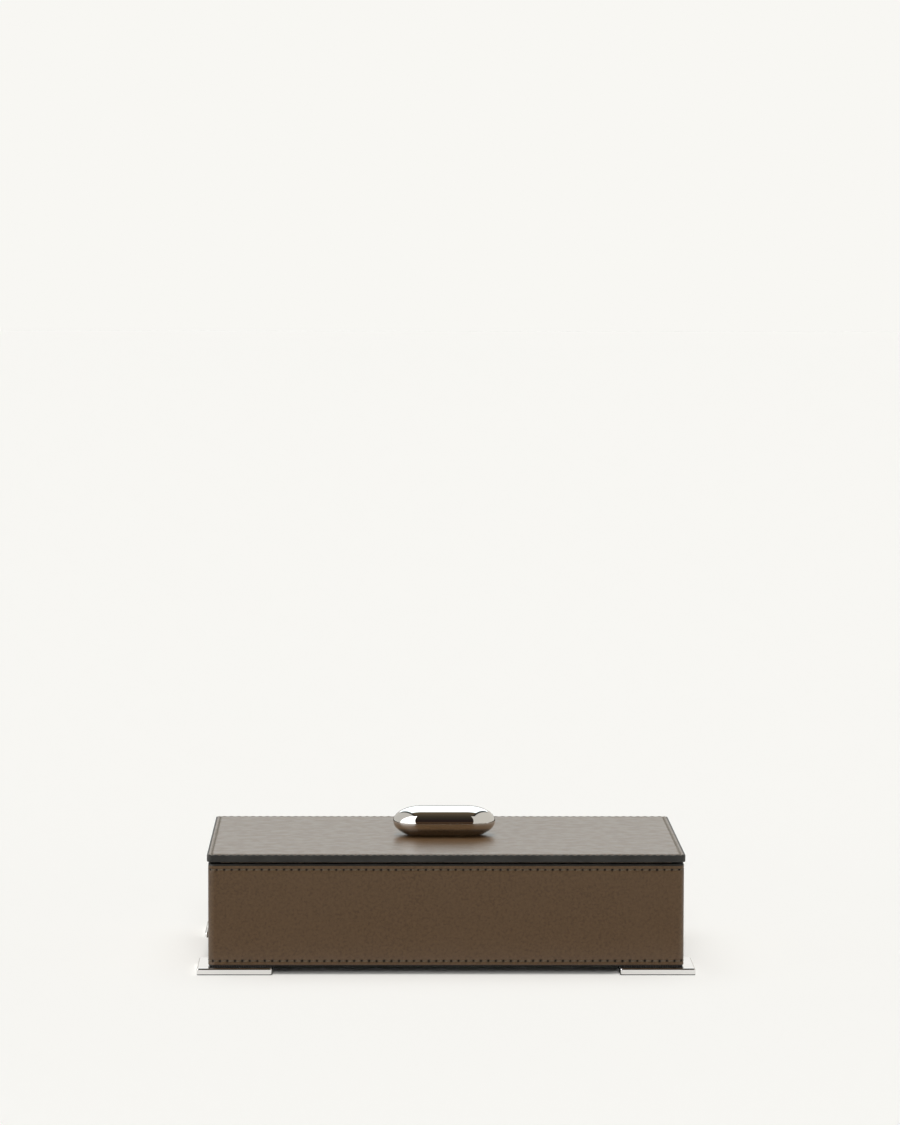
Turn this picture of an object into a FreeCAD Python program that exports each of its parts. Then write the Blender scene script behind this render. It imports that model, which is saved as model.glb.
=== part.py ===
"""Leather keepsake box with a lift-off lid, a polished pebble knob and four plate feet.

Sizes are in millimetres. The origin is on the floor under the middle of the box, +X runs to the right,
the front faces -Y and +Z is up. Every piece becomes one STEP file that carries the piece's name.
"""
import FreeCAD
import Part
import math
import os
from FreeCAD import Vector

# Box body, measured over the leather
BODY_WIDTH = 240.0
BODY_DEPTH = 160.0
WALL_HEIGHT = 51.4
CORNER_RADIUS = 3.5
LEATHER = 1.2
LEATHER_EDGE = 0.4
WRAP_JOINT = 0.2
RIM = 0.5
WALL_BOARD = 5.0
BASE_BOARD = 6.0
COVER = 0.6
COVER_INSET = 0.8

# Lining inside the box
LINER = 2.0
SHADOW_GAP = 1.1
FLOOR_PAD = 2.0
PAD_CLEARANCE = 0.3

# Lid
LID_OVERHANG = 0.6
LID_CORNER = 2.5
LID_LEATHER = 1.2
LID_BOARD = 1.6
LID_LINING = 1.0
LID_EDGE_WIDTH = 0.7
LID_EDGE_ROUND = 0.5
PLUG_BOARD = 5.0
PLUG_FACING = 0.8
PLUG_CLEARANCE = 0.5
PLUG_CORNER = 1.5

# Knob: a pebble with a flat base, its widest line standing KNOB_EQUATOR above the lid
KNOB_LENGTH = 53.0
KNOB_DEPTH = 30.0
KNOB_BASE = 13.4
KNOB_EQUATOR = 7.3
KNOB_CROWN = 7.9

# Screw and washer that hold the knob
KNOB_SCREW_RADIUS = 2.0
KNOB_SCREW_GRIP = 8.0
KNOB_SCREW_END_ROOM = 1.0
KNOB_SCREW_HEAD_RADIUS = 3.5
KNOB_SCREW_HEAD = 2.2
KNOB_SCREW_SOCKET = 1.4
KNOB_SCREW_SOCKET_DEPTH = 1.2
WASHER_RADIUS = 4.6
WASHER = 0.8
WASHER_ROOM = 0.4
SCREW_SINK = 0.2
HOLE_CLEARANCE = 0.1

# Plate feet and their countersunk screws
FOOT_SIZE = 38.0
FOOT_THICKNESS = 3.5
FOOT_PROUD = 5.6
FOOT_CORNER = 1.0
FOOT_ROLL = 0.8
FOOT_BREAK = 0.6
FOOT_SCREW_RADIUS = 1.5
FOOT_SCREW_HEAD_RADIUS = 2.9
FOOT_SCREW_HEAD_RIM = 0.3
FOOT_SCREW_SINK = 0.3
FOOT_SCREW_SPREAD = 12.0
FOOT_SCREW_SOCKET = 1.0
FOOT_SCREW_SOCKET_DEPTH = 0.9
FOOT_SCREW_COVER = 1.2

# Bar on the left wall
BAR_LENGTH = 16.0
BAR_HEIGHT = 3.3
BAR_PROUD = 1.8
BAR_ROUND = 0.9
BAR_FROM_FRONT = 20.0
BAR_ABOVE_WALL_FOOT = 13.9
PIN_RADIUS = 0.8
PIN_SPACING = 9.0
PIN_GRIP = 3.0

# Levels and widths that follow from the sizes above
BODY_Z = FOOT_THICKNESS + COVER
FLOOR_Z = BODY_Z + BASE_BOARD
RIM_Z = BODY_Z + WALL_HEIGHT
LID_Z = RIM_Z + SHADOW_GAP
LID_THICKNESS = LID_LINING + LID_BOARD + LID_LEATHER
LID_TOP_Z = LID_Z + LID_THICKNESS
PLUG_Z = LID_Z - PLUG_BOARD
CORE_WIDTH = BODY_WIDTH - 2 * LEATHER
CORE_DEPTH = BODY_DEPTH - 2 * LEATHER
CORE_RADIUS = max(CORNER_RADIUS - LEATHER, 0.0)
INNER_WIDTH = CORE_WIDTH - 2 * WALL_BOARD
INNER_DEPTH = CORE_DEPTH - 2 * WALL_BOARD
ROOM_WIDTH = INNER_WIDTH - 2 * LINER
ROOM_DEPTH = INNER_DEPTH - 2 * LINER
LID_WIDTH = BODY_WIDTH + 2 * LID_OVERHANG
LID_DEPTH = BODY_DEPTH + 2 * LID_OVERHANG
PLUG_WIDTH = ROOM_WIDTH - 2 * PLUG_CLEARANCE
PLUG_DEPTH = ROOM_DEPTH - 2 * PLUG_CLEARANCE
KNOB_SCREW_SEAT_Z = PLUG_Z + SCREW_SINK + KNOB_SCREW_HEAD

UP = Vector(0, 0, 1)
ORIGIN = Vector(0, 0, 0)
SAME_LEVEL = 1e-6
SIDES = ("front", "right", "back", "left")
FEET = {"front_left": (-1, -1), "front_right": (1, -1), "back_left": (-1, 1), "back_right": (1, 1)}


def edges_at(solid, level):
    """Edges of a solid that lie flat at one height."""
    return [edge for edge in solid.Edges
            if abs(edge.BoundBox.ZMin - level) < SAME_LEVEL and abs(edge.BoundBox.ZMax - level) < SAME_LEVEL]


def block(width, depth, height, z, corner=0.0, top=0.0, bottom=0.0):
    """Upright block centred on the Z axis, with rounded corners and rounded top and bottom edges."""
    solid = Part.makeBox(width, depth, height, Vector(-width / 2, -depth / 2, z))
    if corner > 0:
        upright = [edge for edge in solid.Edges if edge.BoundBox.ZLength > height / 2]
        solid = solid.makeFillet(corner, upright)
    for radius, level in ((top, z + height), (bottom, z)):
        if radius > 0:
            solid = solid.makeFillet(radius, edges_at(solid, level))
    return solid


def turned(points):
    """Solid made by turning a closed profile of (radius, height) points about the Z axis."""
    corners = [Vector(radius, 0, height) for radius, height in points]
    return Part.Face(Part.makePolygon(corners + corners[:1])).revolve(ORIGIN, UP, 360)


def hexagon_socket(radius, depth, z):
    """Hexagonal prism that cuts the drive socket of a screw, upwards from height z."""
    corners = [Vector(radius * math.cos(turn * math.pi / 3), radius * math.sin(turn * math.pi / 3), z)
               for turn in range(7)]
    return Part.Face(Part.makePolygon(corners)).extrude(UP * depth)


def mitred_frame(width, depth, thickness, height, z):
    """Four boards that close a rectangle with 45 degree mitres, named by the side they stand on."""
    boards = {}
    for turn, side in enumerate(SIDES):
        length, reach = (width, depth) if turn % 2 == 0 else (depth, width)
        outer = [Vector(-length / 2, -reach / 2, z), Vector(length / 2, -reach / 2, z)]
        inner = [outer[1] + Vector(-thickness, thickness, 0), outer[0] + Vector(thickness, thickness, 0)]
        board = Part.Face(Part.makePolygon(outer + inner + outer[:1])).extrude(UP * height)
        board.rotate(ORIGIN, UP, 90 * turn)
        boards[side] = board
    return boards


def stadium(length, width):
    """Flat face in the XY plane with straight sides and half-round ends, centred on the origin."""
    reach = (length - width) / 2
    half = width / 2
    edges = [
        Part.LineSegment(Vector(-reach, -half, 0), Vector(reach, -half, 0)),
        Part.Arc(Vector(reach, -half, 0), Vector(reach + half, 0, 0), Vector(reach, half, 0)),
        Part.LineSegment(Vector(reach, half, 0), Vector(-reach, half, 0)),
        Part.Arc(Vector(-reach, half, 0), Vector(-reach - half, 0, 0), Vector(-reach, -half, 0)),
    ]
    return Part.Face(Part.Wire([edge.toShape() for edge in edges]))


def foot_centre(x_side, y_side):
    """Middle of a foot, which stands proud of the leather on both outer sides."""
    return Vector(x_side * (BODY_WIDTH / 2 + FOOT_PROUD - FOOT_SIZE / 2),
                  y_side * (BODY_DEPTH / 2 + FOOT_PROUD - FOOT_SIZE / 2), 0)


def foot_screw_places(x_side, y_side):
    """Places of a foot's two screws, set across the stretch of the foot that lies under the base board."""
    centre = foot_centre(x_side, y_side)
    inner_x = abs(centre.x) - FOOT_SIZE / 2
    inner_y = abs(centre.y) - FOOT_SIZE / 2
    seat_x = (inner_x + INNER_WIDTH / 2) / 2
    seat_y = (inner_y + INNER_DEPTH / 2) / 2
    step = FOOT_SCREW_SPREAD / 2
    return [Vector(x_side * (seat_x + way * step), y_side * (seat_y - way * step), 0) for way in (-1, 1)]


def all_foot_screw_places():
    """Places of the screws of all four feet."""
    return [place for sides in FEET.values() for place in foot_screw_places(*sides)]


def foot_screw_body(clearance, start):
    """Countersunk screw form about the Z axis; a clearance makes it the hole that takes the screw."""
    head = FOOT_SCREW_HEAD_RADIUS + clearance
    shank = FOOT_SCREW_RADIUS + clearance
    cone_start = FOOT_SCREW_SINK + FOOT_SCREW_HEAD_RIM
    cone_end = cone_start + FOOT_SCREW_HEAD_RADIUS - FOOT_SCREW_RADIUS
    tip = FLOOR_Z - FOOT_SCREW_COVER + clearance
    return turned([(0, start), (head, start), (head, cone_start), (shank, cone_end),
                   (shank, tip - shank / 2), (0, tip)])


def foot_screw_holes():
    """Cutters for every foot screw, open below."""
    holes = []
    for place in all_foot_screw_places():
        hole = foot_screw_body(HOLE_CLEARANCE, 0.0)
        hole.translate(place)
        holes.append(hole)
    return holes


def foot_screws():
    """The countersunk screws of the feet, with hexagon sockets, as one group."""
    screw = foot_screw_body(0.0, FOOT_SCREW_SINK)
    screw = screw.cut(hexagon_socket(FOOT_SCREW_SOCKET, FOOT_SCREW_SOCKET_DEPTH, FOOT_SCREW_SINK))
    screws = []
    for place in all_foot_screw_places():
        copy = screw.copy()
        copy.translate(place)
        screws.append(copy)
    return Part.makeCompound(screws)


def foot(x_side, y_side):
    """Square plate with a rolled upper edge, countersunk from below for its screws."""
    plate = block(FOOT_SIZE, FOOT_SIZE, FOOT_THICKNESS, 0.0, FOOT_CORNER, top=FOOT_ROLL, bottom=FOOT_BREAK)
    plate.translate(foot_centre(x_side, y_side))
    return plate.cut(foot_screw_holes())


def pin_places():
    """Points on the face of the left wall where the bar's pins enter the leather."""
    x = -BODY_WIDTH / 2
    y = -BODY_DEPTH / 2 + BAR_FROM_FRONT
    z = BODY_Z + BAR_ABOVE_WALL_FOOT
    return [Vector(x, y + way * PIN_SPACING / 2, z) for way in (-1, 1)]


def pins(clearance=0.0):
    """Pins that run from the back of the bar through the leather into the left wall."""
    length = LEATHER + PIN_GRIP + clearance
    radius = PIN_RADIUS + clearance
    return [Part.makeCylinder(radius, length, place, Vector(1, 0, 0)) for place in pin_places()]


def side_bar():
    """Bar with half-round ends and a rolled outer edge, lying flat against the left wall."""
    bar = stadium(BAR_LENGTH, BAR_HEIGHT).extrude(UP * BAR_PROUD)
    bar = bar.makeFillet(BAR_ROUND, edges_at(bar, BAR_PROUD))
    bar.rotate(ORIGIN, UP, 90)
    bar.rotate(ORIGIN, Vector(0, 1, 0), -90)
    first, second = pin_places()
    bar.translate((first + second) / 2)
    return bar


def walls():
    """Mitred wall boards, with the outer corners eased to the inside of the leather."""
    height = WALL_HEIGHT - RIM
    core = block(CORE_WIDTH, CORE_DEPTH, height, BODY_Z, CORE_RADIUS)
    boards = mitred_frame(CORE_WIDTH, CORE_DEPTH, WALL_BOARD, height, BODY_Z)
    shaped = {side: board.common(core) for side, board in boards.items()}
    shaped["left"] = shaped["left"].cut(pins(HOLE_CLEARANCE))
    return shaped


def leather_wrap():
    """Leather band round the walls, with a butt joint at the middle of the back."""
    height = WALL_HEIGHT - RIM
    band = block(BODY_WIDTH, BODY_DEPTH, height, BODY_Z, CORNER_RADIUS, bottom=LEATHER_EDGE)
    core = block(CORE_WIDTH, CORE_DEPTH, height, BODY_Z, CORE_RADIUS)
    joint = Part.makeBox(WRAP_JOINT, BODY_DEPTH, height, Vector(-WRAP_JOINT / 2, 0, BODY_Z))
    return band.cut([core, joint] + pins(HOLE_CLEARANCE))


def rim_edge():
    """Dressed edge that closes the tops of the leather and of the wall boards."""
    strip = block(BODY_WIDTH, BODY_DEPTH, RIM, RIM_Z - RIM, CORNER_RADIUS, top=LEATHER_EDGE)
    return strip.cut(block(INNER_WIDTH, INNER_DEPTH, RIM, RIM_Z - RIM))


def base_board():
    """Bottom board between the walls, drilled for the foot screws."""
    return block(INNER_WIDTH, INNER_DEPTH, BASE_BOARD, BODY_Z).cut(foot_screw_holes())


def bottom_cover():
    """Thin cover under the box, set in from the leather so that a dark line shows above the feet."""
    width = BODY_WIDTH - 2 * COVER_INSET
    depth = BODY_DEPTH - 2 * COVER_INSET
    sheet = block(width, depth, COVER, FOOT_THICKNESS, max(CORNER_RADIUS - COVER_INSET, 0.0))
    return sheet.cut(foot_screw_holes())


def liners():
    """Lining boards that stand on the base and rise above the rim, where they carry the lid."""
    return mitred_frame(INNER_WIDTH, INNER_DEPTH, LINER, LID_Z - FLOOR_Z, FLOOR_Z)


def floor_pad():
    """Pad that lies on the base inside the lining."""
    return block(ROOM_WIDTH - 2 * PAD_CLEARANCE, ROOM_DEPTH - 2 * PAD_CLEARANCE, FLOOR_PAD, FLOOR_Z)


def knob_hole(bottom, top):
    """Cutter for the knob screw between two heights."""
    return Part.makeCylinder(KNOB_SCREW_RADIUS + HOLE_CLEARANCE, top - bottom, Vector(0, 0, bottom))


def lid_sheet(thickness, z):
    """One layer of the lid inside its dressed edge, pierced for the knob screw."""
    inset = 2 * LID_EDGE_WIDTH
    corner = max(LID_CORNER - LID_EDGE_WIDTH, 0.0)
    sheet = block(LID_WIDTH - inset, LID_DEPTH - inset, thickness, z, corner)
    return sheet.cut(knob_hole(z, z + thickness))


def lid_edge():
    """Dressed edge of the lid: a narrow rounded band as tall as the lid is thick."""
    band = block(LID_WIDTH, LID_DEPTH, LID_THICKNESS, LID_Z, LID_CORNER, LID_EDGE_ROUND, LID_EDGE_ROUND)
    inset = 2 * LID_EDGE_WIDTH
    corner = max(LID_CORNER - LID_EDGE_WIDTH, 0.0)
    return band.cut(block(LID_WIDTH - inset, LID_DEPTH - inset, LID_THICKNESS, LID_Z, corner))


def lid_plug():
    """Board under the lid that drops between the liners, counterbored for the screw head."""
    board = block(PLUG_WIDTH, PLUG_DEPTH, PLUG_BOARD, PLUG_Z, PLUG_CORNER)
    recess_depth = KNOB_SCREW_SEAT_Z + WASHER - PLUG_Z
    recess = Part.makeCylinder(WASHER_RADIUS + WASHER_ROOM, recess_depth, Vector(0, 0, PLUG_Z))
    return board.cut([recess, knob_hole(PLUG_Z, LID_Z)])


def lid_plug_facing():
    """Suede sheet on the underside of the plug, which also hides the screw."""
    return block(PLUG_WIDTH, PLUG_DEPTH, PLUG_FACING, PLUG_Z - PLUG_FACING, PLUG_CORNER)


def knob_washer():
    """Flat washer between the screw head and the plug."""
    disc = Part.makeCylinder(WASHER_RADIUS, WASHER, Vector(0, 0, KNOB_SCREW_SEAT_Z))
    return disc.cut(knob_hole(KNOB_SCREW_SEAT_Z, KNOB_SCREW_SEAT_Z + WASHER))


def knob_screw():
    """Cap screw that runs up through the plug and the lid into the knob."""
    head_z = KNOB_SCREW_SEAT_Z - KNOB_SCREW_HEAD
    tip_z = LID_TOP_Z + KNOB_SCREW_GRIP
    screw = turned([(0, head_z), (KNOB_SCREW_HEAD_RADIUS, head_z), (KNOB_SCREW_HEAD_RADIUS, KNOB_SCREW_SEAT_Z),
                    (KNOB_SCREW_RADIUS, KNOB_SCREW_SEAT_Z), (KNOB_SCREW_RADIUS, tip_z), (0, tip_z)])
    return screw.cut(hexagon_socket(KNOB_SCREW_SOCKET, KNOB_SCREW_SOCKET_DEPTH, head_z))


def knob_profile():
    """Half section of the knob in the XZ plane: a flat base and two elliptical arcs that meet upright."""
    reach = KNOB_DEPTH / 2
    base = KNOB_BASE / 2
    equator = LID_TOP_Z + KNOB_EQUATOR
    centre = Vector(0, 0, equator)
    widest = Vector(reach, 0, equator)
    base_angle = math.acos(base / reach)
    lower_height = KNOB_EQUATOR / math.sin(base_angle)
    lower = Part.Ellipse(widest, Vector(0, 0, equator - lower_height), centre)
    upper = Part.Ellipse(widest, Vector(0, 0, equator + KNOB_CROWN), centre)
    foot_point = Vector(base, 0, LID_TOP_Z)
    edges = [
        Part.makeLine(Vector(0, 0, LID_TOP_Z), foot_point),
        lower.toShape(0, base_angle),
        upper.toShape(0, math.pi / 2),
        Part.makeLine(Vector(0, 0, equator + KNOB_CROWN), Vector(0, 0, LID_TOP_Z)),
    ]
    return Part.Face(Part.Wire(Part.__sortEdges__(edges)))


def knob():
    """Pebble: the half section carried along a straight middle and turned half round at both ends."""
    reach = (KNOB_LENGTH - KNOB_DEPTH) / 2
    pieces = []
    for turn in (-90, 90):
        section = knob_profile()
        section.rotate(ORIGIN, UP, turn)
        end = section.revolve(ORIGIN, UP, 180)
        outward = Vector(math.copysign(reach, -turn), 0, 0)
        end.translate(outward)
        section.translate(outward)
        pieces += [end, section.extrude(outward * -2)]
    pebble = pieces[0].fuse(pieces[1:]).removeSplitter()
    return pebble.cut(knob_hole(LID_TOP_Z, LID_TOP_Z + KNOB_SCREW_GRIP + KNOB_SCREW_END_ROOM))


def pieces():
    """Every piece of the box by name."""
    named = {
        "leather_wrap": leather_wrap(),
        "rim_edge": rim_edge(),
        "base_board": base_board(),
        "bottom_cover": bottom_cover(),
        "floor_pad": floor_pad(),
        "foot_screws": foot_screws(),
        "side_bar": side_bar(),
        "side_bar_pins": Part.makeCompound(pins()),
        "lid_lining": lid_sheet(LID_LINING, LID_Z),
        "lid_board": lid_sheet(LID_BOARD, LID_Z + LID_LINING),
        "lid_top_leather": lid_sheet(LID_LEATHER, LID_Z + LID_LINING + LID_BOARD),
        "lid_edge": lid_edge(),
        "lid_plug": lid_plug(),
        "lid_plug_facing": lid_plug_facing(),
        "knob": knob(),
        "knob_screw": knob_screw(),
        "knob_washer": knob_washer(),
    }
    for side, board in walls().items():
        named["wall_" + side] = board
    for side, board in liners().items():
        named["liner_" + side] = board
    for corner, sides in FEET.items():
        named["foot_" + corner] = foot(*sides)
    return named


os.makedirs("parts", exist_ok=True)
for name, shape in pieces().items():
    shape.exportStep("parts/" + name + ".step")
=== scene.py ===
"""Leather box with a lift-off lid and a polished pebble knob: its looks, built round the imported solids.

Lengths are in millimetres until a mesh is made, and metres after that. The frame is the part's own: X to the
right, Y to the back, Z up, with the feet on Z = 0.
"""

import math

import bmesh
import bpy
import numpy as np
from mathutils import Matrix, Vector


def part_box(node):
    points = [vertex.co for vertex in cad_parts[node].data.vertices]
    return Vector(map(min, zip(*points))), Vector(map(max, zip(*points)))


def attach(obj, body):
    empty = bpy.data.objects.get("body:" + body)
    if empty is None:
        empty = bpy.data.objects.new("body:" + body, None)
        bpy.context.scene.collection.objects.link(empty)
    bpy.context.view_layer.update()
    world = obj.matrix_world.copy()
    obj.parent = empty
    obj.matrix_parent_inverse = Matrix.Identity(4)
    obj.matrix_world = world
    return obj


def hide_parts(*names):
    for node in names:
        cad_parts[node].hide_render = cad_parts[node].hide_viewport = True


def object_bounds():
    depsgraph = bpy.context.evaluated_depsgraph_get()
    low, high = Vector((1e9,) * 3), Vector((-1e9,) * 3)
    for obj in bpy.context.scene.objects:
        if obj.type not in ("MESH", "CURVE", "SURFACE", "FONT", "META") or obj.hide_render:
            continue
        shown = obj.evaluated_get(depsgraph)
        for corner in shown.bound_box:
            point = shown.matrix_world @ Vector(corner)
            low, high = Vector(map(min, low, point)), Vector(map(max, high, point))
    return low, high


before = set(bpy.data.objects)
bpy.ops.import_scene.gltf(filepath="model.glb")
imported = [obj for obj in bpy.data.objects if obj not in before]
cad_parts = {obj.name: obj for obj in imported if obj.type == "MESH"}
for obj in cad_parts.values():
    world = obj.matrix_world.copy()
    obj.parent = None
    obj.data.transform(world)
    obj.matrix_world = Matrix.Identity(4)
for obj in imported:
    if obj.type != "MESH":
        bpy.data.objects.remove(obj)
packed_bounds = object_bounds()

MM = 0.001
FULL_TURN = 2 * math.pi

# Meshes: points this close, in millimetres, are joined; edges sharper than this, in degrees, stay sharp
JOIN_WITHIN = 0.002
SHARP_ABOVE = 40.0
ROLLED_SHARP_ABOVE = 62.0

# Rings of a flat face stop this far from its middle line, in millimetres
CENTRE_GAP = 0.5

# Seams, in millimetres
SEAM_FROM_EDGE = 2.3
LID_SEAM_INSET = 2.45
SEAM_VALLEY = 0.14
SEAM_HALF_WIDTH = 0.6
HOLE_DEPTH = 0.5
HOLE_RADIUS = 0.54
LOWER_HOLE_RADIUS = 0.64
HOLE_UNEVEN = 0.15
HOLE_STRAY = 0.10
# Spread of the painted shade in each hole
HOLE_SHADE_SPREAD = 1.25
SCALLOP = 0.3
THREAD_RADIUS = 0.25
THREAD_BOW = 0.5
THREAD_SINK = 0.5
THREAD_LUMP = 0.10
THREAD_SLANT = 0.10
THREAD_FLAT = 0.82
LONG_SIDE_STITCHES = 62
SHORT_SIDE_STITCHES = 42
CORNER_STITCHES = 1.5
UPPER_PHASE = 0.27
LOWER_PHASE = 0.68
SCATTER_STEP = 12.9898
SCATTER_SPREAD = 43758.5453

# Studio: the colour of floor and backdrop, and how the light on the floor is shared out
PALE = (0.939, 0.930, 0.896)
BOUNCE = (0.54, 0.52, 0.49)
MAIN_LIGHT = 0.51
BACK_LIGHT = 0.27
FRONT_LIGHT = 0.15
HORIZON_LIGHT = 1.90


# Paths

STATIONS = np.arange(10.0)
SIDE_X = np.array([0, -1, -1, -1, -1, 1, 1, 1, 1, 0], float)
SIDE_Y = np.array([1, 1, 1, -1, -1, -1, -1, 1, 1, 1], float)
FACING = np.radians([90, 90, 180, 180, 270, 270, 360, 360, 450, 450])
STITCHES_AT_STATIONS = np.cumsum([
    0, LONG_SIDE_STITCHES / 2, CORNER_STITCHES, SHORT_SIDE_STITCHES, CORNER_STITCHES, LONG_SIDE_STITCHES,
    CORNER_STITCHES, SHORT_SIDE_STITCHES, CORNER_STITCHES, LONG_SIDE_STITCHES / 2,
])
STITCH_TOTAL = int(STITCHES_AT_STATIONS[-1])


def swept(station, core_x, core_y, reach):
    """Points round a rectangle with rounded corners, by station: 0 is the middle of the back, 1 to 2 is the
    first corner, 2 to 3 the left side, and so on anticlockwise to 9, the middle of the back again.

    A point is its place on the core rectangle plus reach times the outward direction there. Both the place
    and the direction's angle run straight between the stations.
    """
    facing = np.interp(station, STATIONS, FACING)
    x = np.interp(station, STATIONS, SIDE_X) * core_x + reach * np.cos(facing)
    y = np.interp(station, STATIONS, SIDE_Y) * core_y + reach * np.sin(facing)
    return x, y


def outline(station, half_width, half_depth, radius, inset):
    """Rounded rectangle drawn at an inset from its outline: the corner keeps what is left of its radius, and
    an inset beyond the radius leaves a square corner.
    """
    reach = np.maximum(radius - inset, 0.0)
    core_x = half_width - reach - inset
    core_y = half_depth - reach - inset
    return swept(station, core_x, core_y, reach)


def station_of_stitch(stitch):
    """Station along the path at a count of stitches from the middle of the back."""
    return np.interp(stitch, STITCHES_AT_STATIONS, STATIONS)


NEAR_HOLE = np.array([-0.12, -0.06, 0.0, 0.06, 0.12])
WALL_COLUMNS = np.concatenate([UPPER_PHASE + NEAR_HOLE, LOWER_PHASE + NEAR_HOLE, [0.475, 0.92, 1.03]])
LID_COLUMNS = np.concatenate([NEAR_HOLE, [0.25, 0.5, 0.75]])


def seam_columns(within):
    """Counts of stitches for the columns of a sewn surface, which repeat within each stitch."""
    return np.sort((np.arange(STITCH_TOTAL)[:, None] + within).ravel() % STITCH_TOTAL)


def from_hole(stitch, phase, pitch):
    """Millimetres along the seam to the nearest hole; holes stand at whole counts plus a phase."""
    return np.abs(stitch - phase - np.round(stitch - phase)) * pitch


def unevenness(stitch, phase, seed):
    """A value from -1 to 1 for each hole: the part after the point of a large sine of the hole's number."""
    number = np.round(stitch - phase) % STITCH_TOTAL
    return 2 * (np.sin(number * SCATTER_STEP + seed) * SCATTER_SPREAD % 1.0) - 1


def ripple(stitch, seed):
    """Slow waver along a seam that closes on itself: three sines of whole turns, from -1 to 1."""
    angle = FULL_TURN * stitch / STITCH_TOTAL
    return (np.sin(7 * angle + seed) + np.sin(13 * angle + 2 * seed) + np.sin(29 * angle + 3 * seed)) / 3


# Meshes

def grid_faces(rows, columns, loop_rows=False, loop_columns=False):
    """Four-sided faces between neighbours of a grid of points, row by row, facing along column cross row."""
    row = np.arange(rows if loop_rows else rows - 1)[:, None]
    column = np.arange(columns if loop_columns else columns - 1)[None, :]
    next_row = (row + 1) % rows
    next_column = (column + 1) % columns
    corners = np.broadcast_arrays(row * columns + column, row * columns + next_column,
                                  next_row * columns + next_column, next_row * columns + column)
    return np.stack(corners, axis=-1).reshape(-1, 4)


def stack(x, y, z):
    """Points of a grid from its three coordinates, one of which may be the same along a side."""
    return np.stack(np.broadcast_arrays(x, y, z), axis=-1).reshape(-1, 3)


def make_piece(name, points, faces, finish, body, stands_for=(), values=None, weld=0.0):
    """Mesh in its place in the frame, riding on a body, with its finish and any values at its points."""
    mesh = bpy.data.meshes.new(name)
    mesh.from_pydata(np.asarray(points) * MM, [], faces)
    for key, value in (values or {}).items():
        held = mesh.attributes.new(key, "FLOAT", "POINT")
        held.data.foreach_set("value", np.ascontiguousarray(value, np.float32).ravel())
    if weld:
        work = bmesh.new()
        work.from_mesh(mesh)
        bmesh.ops.remove_doubles(work, verts=work.verts, dist=weld * MM)
        work.to_mesh(mesh)
        work.free()
    mesh.polygons.foreach_set("use_smooth", np.ones(len(mesh.polygons), bool))
    mesh.set_sharp_from_angle(angle=math.radians(SHARP_ABOVE))
    mesh.materials.append(finish)
    made = bpy.data.objects.new(name, mesh)
    bpy.context.scene.collection.objects.link(made)
    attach(made, body)
    if stands_for:
        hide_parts(*stands_for)
    return made


def node_box(node):
    """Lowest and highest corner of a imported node, in millimetres."""
    low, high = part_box(node)
    return np.array(low) / MM, np.array(high) / MM


def arc(start, end, steps):
    """Angles from start to end in degrees, both included, as radians."""
    return np.radians(np.linspace(start, end, steps))


# Materials

class Signal:
    """An output socket of a node. Arithmetic on it adds Math nodes."""

    def __init__(self, tree, socket):
        self.tree = tree
        self.socket = socket

    def math(self, operation, *inputs):
        return self.tree.node("ShaderNodeMath", {"operation": operation}, dict(enumerate(inputs)))

    def __add__(self, other):
        return self.math("ADD", self, other)

    def __sub__(self, other):
        return self.math("SUBTRACT", self, other)

    def __rsub__(self, other):
        return self.math("SUBTRACT", other, self)

    def __mul__(self, other):
        return self.math("MULTIPLY", self, other)

    def above(self, other):
        return self.math("MAXIMUM", self, other)

    def below(self, other):
        return self.math("MINIMUM", self, other)

    def size(self):
        return self.math("ABSOLUTE", self)

    __radd__ = __add__
    __rmul__ = __mul__


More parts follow.
